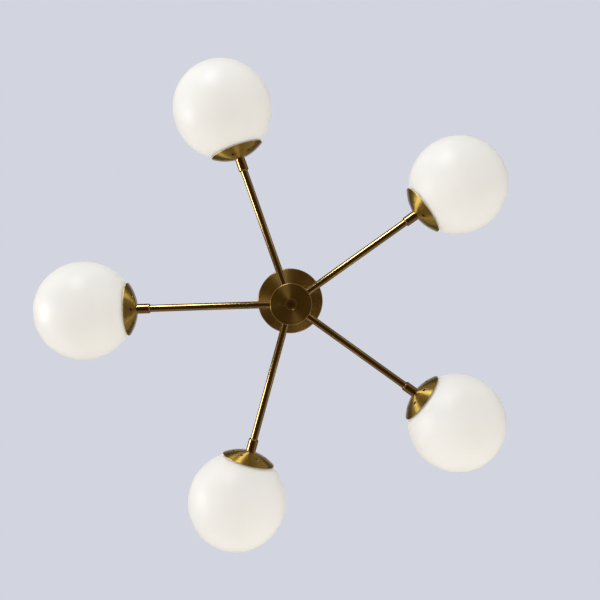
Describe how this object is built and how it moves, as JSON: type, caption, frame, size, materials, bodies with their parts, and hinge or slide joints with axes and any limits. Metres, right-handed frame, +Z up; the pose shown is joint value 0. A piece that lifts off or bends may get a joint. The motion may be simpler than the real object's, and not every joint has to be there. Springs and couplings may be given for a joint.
{
  "type": "sputnik chandelier",
  "caption": "Ceiling light: a round canopy and short stem carry a brass drum with level radial arms, each ending in a vented spun cap and an opal glass globe.",
  "frame": {"origin": "middle of the ceiling plane, where the bracket bolts up; the light hangs below it", "axes": "+Z up, towards the ceiling; one arm lies near -X, and the others follow about 72 degrees apart"},
  "size_m": [0.7252, 0.7514, 0.351],
  "materials": {
    "brass": "satin antique brass, turned and brushed",
    "opal_glass": "matt opal, blown",
    "bulb_white": "frosted",
    "white_ceramic": "satin",
    "seal_rubber": "translucent silicone",
    "spring_steel": "rolled",
    "zinc_steel": "zinc plated",
    "block_plastic": "moulded",
    "cable_white": "smooth sheath",
    "lead_clear": "smooth silicone sheath"
  },
  "bodies": {
    "fixture": {"ceiling_bracket": "zinc_steel", "earth_screw": "zinc_steel", "terminal_block": "block_plastic", "terminal_screw": "zinc_steel", "stem": "brass", "top_nipple": "zinc_steel", "hub_rod": "zinc_steel", "stem_nuts": "zinc_steel", "hub_body": "brass", "hub_cover": "brass", "cover_nut": "brass", "hub_connector": "block_plastic", "supply_cable": "cable_white", "arm_leads": "lead_clear", "arm_nipples": "zinc_steel", "arm_nuts": "zinc_steel", "arm_tube_a": "brass", "arm_collar_a": "brass", "cap_a": "brass", "seal_a": "seal_rubber", "globe_clip_a": "spring_steel", "lampholder_a": "white_ceramic", "arm_tube_b": "brass", "arm_collar_b": "brass", "cap_b": "brass", "seal_b": "seal_rubber", "globe_clip_b": "spring_steel", "lampholder_b": "white_ceramic", "arm_tube_c": "brass", "arm_collar_c": "brass", "cap_c": "brass", "seal_c": "seal_rubber", "globe_clip_c": "spring_steel", "lampholder_c": "white_ceramic", "arm_tube_d": "brass", "arm_collar_d": "brass", "cap_d": "brass", "seal_d": "seal_rubber", "globe_clip_d": "spring_steel", "lampholder_d": "white_ceramic", "arm_tube_e": "brass", "arm_collar_e": "brass", "cap_e": "brass", "seal_e": "seal_rubber", "globe_clip_e": "spring_steel", "lampholder_e": "white_ceramic"},
    "ceiling_cup": {"canopy": "brass", "canopy_collar": "brass", "collar_screw": "zinc_steel"},
    "globe_body_a": {"globe_a": "opal_glass"},
    "globe_body_b": {"globe_b": "opal_glass"},
    "globe_body_c": {"globe_c": "opal_glass"},
    "globe_body_d": {"globe_d": "opal_glass"},
    "globe_body_e": {"globe_e": "opal_glass"},
    "bulb_body_a": {"bulb_a": "bulb_white"},
    "bulb_body_b": {"bulb_b": "bulb_white"},
    "bulb_body_c": {"bulb_c": "bulb_white"},
    "bulb_body_d": {"bulb_d": "bulb_white"},
    "bulb_body_e": {"bulb_e": "bulb_white"}
  },
  "joints": [
    {"name": "canopy_slide", "type": "slide", "parent": "fixture", "child": "ceiling_cup", "axis": [0, 0, -1], "range_m": [0, 0.19]},
    {"name": "globe_a_pull", "type": "slide", "parent": "fixture", "child": "globe_body_a", "axis": [-0.3123, -0.95, 0], "range_m": [0, 0.1]},
    {"name": "globe_b_pull", "type": "slide", "parent": "fixture", "child": "globe_body_b", "axis": [0.8261, -0.5635, 0], "range_m": [0, 0.1]},
    {"name": "globe_c_pull", "type": "slide", "parent": "fixture", "child": "globe_body_c", "axis": [0.8007, 0.599, 0], "range_m": [0, 0.1]},
    {"name": "globe_d_pull", "type": "slide", "parent": "fixture", "child": "globe_body_d", "axis": [-0.2823, 0.9593, 0], "range_m": [0, 0.1]},
    {"name": "globe_e_pull", "type": "slide", "parent": "fixture", "child": "globe_body_e", "axis": [-0.9999, 0.0122, 0], "range_m": [0, 0.1]},
    {"name": "bulb_a_pull", "type": "slide", "parent": "fixture", "child": "bulb_body_a", "axis": [-0.3123, -0.95, 0], "range_m": [0, 0.02]},
    {"name": "bulb_b_pull", "type": "slide", "parent": "fixture", "child": "bulb_body_b", "axis": [0.8261, -0.5635, 0], "range_m": [0, 0.02]},
    {"name": "bulb_c_pull", "type": "slide", "parent": "fixture", "child": "bulb_body_c", "axis": [0.8007, 0.599, 0], "range_m": [0, 0.02]},
    {"name": "bulb_d_pull", "type": "slide", "parent": "fixture", "child": "bulb_body_d", "axis": [-0.2823, 0.9593, 0], "range_m": [0, 0.02]},
    {"name": "bulb_e_pull", "type": "slide", "parent": "fixture", "child": "bulb_body_e", "axis": [-0.9999, 0.0122, 0], "range_m": [0, 0.02]}
  ]
}
